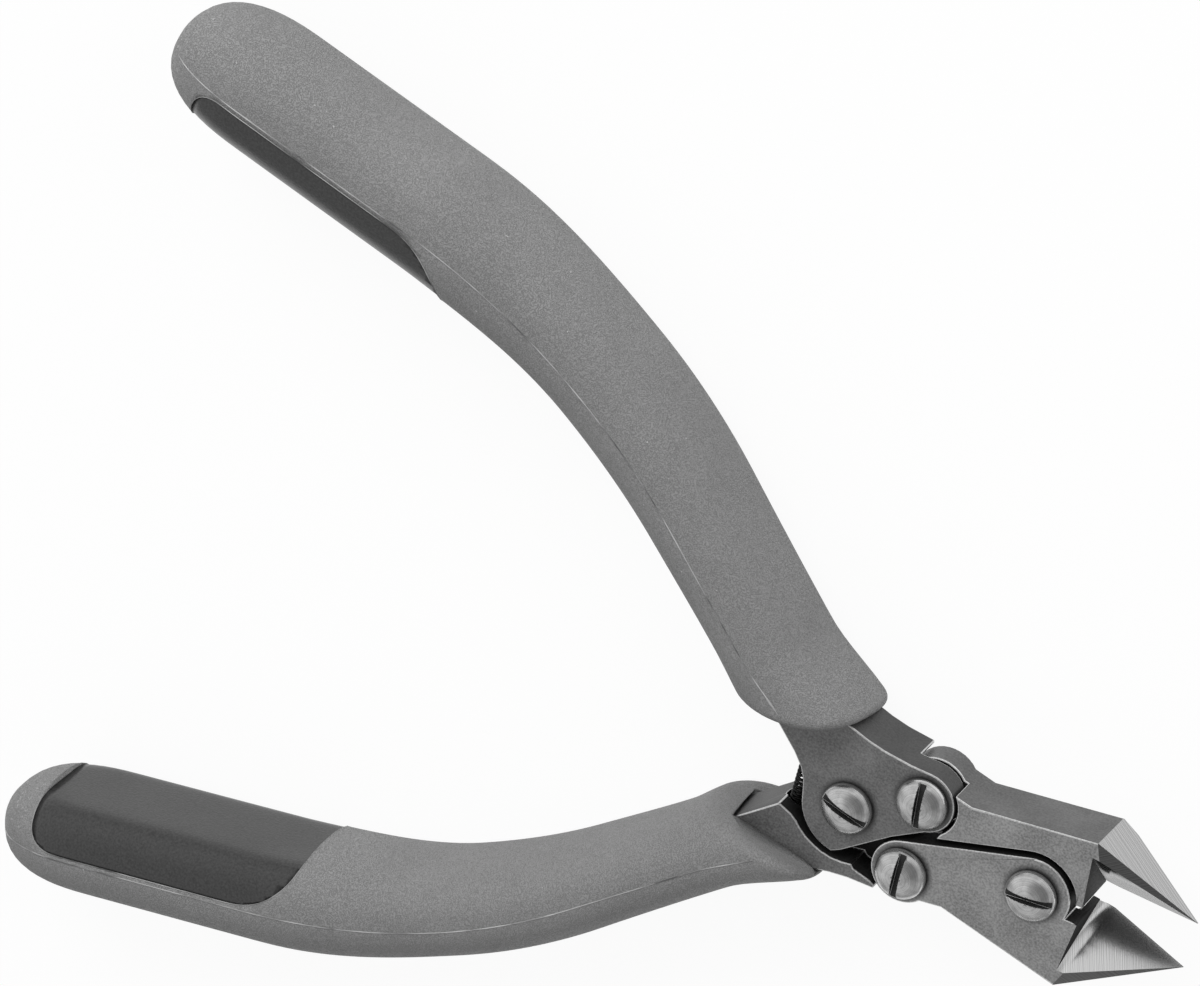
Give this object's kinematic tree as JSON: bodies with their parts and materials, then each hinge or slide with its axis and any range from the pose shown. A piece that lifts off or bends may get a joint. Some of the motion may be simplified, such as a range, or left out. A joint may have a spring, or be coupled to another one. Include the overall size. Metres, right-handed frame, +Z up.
{
  "type": "flush cutter",
  "caption": "Compound-leverage flush cutter with half-lapped steel levers and ground cutting jaws, slotted pivot screws, a coil return spring and grey rubber grips over dark plastic cores.",
  "frame": {"origin": "middle of the underside of the bounding box, the tool lying on its back with the jaws open", "axes": "+X towards the jaw tips, +Y towards the upper handle, +Z up, along the screws towards their heads"},
  "size_m": [0.127, 0.1054, 0.0152],
  "materials": {
    "lever_steel": "dark satin",
    "jaw_steel": "satin with ground bevels",
    "screw_steel": "turned",
    "core_plastic": "satin",
    "sleeve_rubber": "fine pebble",
    "spring_steel": "dark wire"
  },
  "bodies": {
    "lower_handle": {"lower_lever": "lever_steel", "lower_grip_core": "core_plastic", "lower_grip_sleeve": "sleeve_rubber", "handle_pivot_screw": "screw_steel", "lower_link_screw": "screw_steel", "return_spring": "spring_steel"},
    "upper_handle": {"upper_lever": "lever_steel", "upper_grip_core": "core_plastic", "upper_grip_sleeve": "sleeve_rubber"},
    "lower_cutter": {"lower_jaw": "jaw_steel"},
    "upper_cutter": {"upper_jaw": "jaw_steel", "jaw_pivot_screw": "screw_steel", "upper_link_screw": "screw_steel"}
  },
  "joints": [
    {"name": "handle", "type": "hinge", "parent": "lower_handle", "child": "upper_handle", "pos_m": [0.02689, 0, 0.00762], "axis": [0, 0, 1], "range_deg": [0, 36], "stiffness_Nm_per_rad": 0.16, "springref_deg": -5.73, "deforming": ["return_spring"]},
    {"name": "lower_jaw_link", "type": "hinge", "parent": "lower_handle", "child": "lower_cutter", "pos_m": [0.03417, -0.00429, 0.00762], "axis": [0, 0, 1], "range_deg": [0, 27.15]},
    {"name": "jaw_hinge", "type": "hinge", "parent": "lower_cutter", "child": "upper_cutter", "pos_m": [0.04763, 0, 0.00762], "axis": [0, 0, -1], "range_deg": [0, 18.25]}
  ],
  "couplings": [
    {"joint": "lower_jaw_link", "follows": "handle", "ratio": 0.753},
    {"joint": "jaw_hinge", "follows": "handle", "ratio": 0.506}
  ]
}
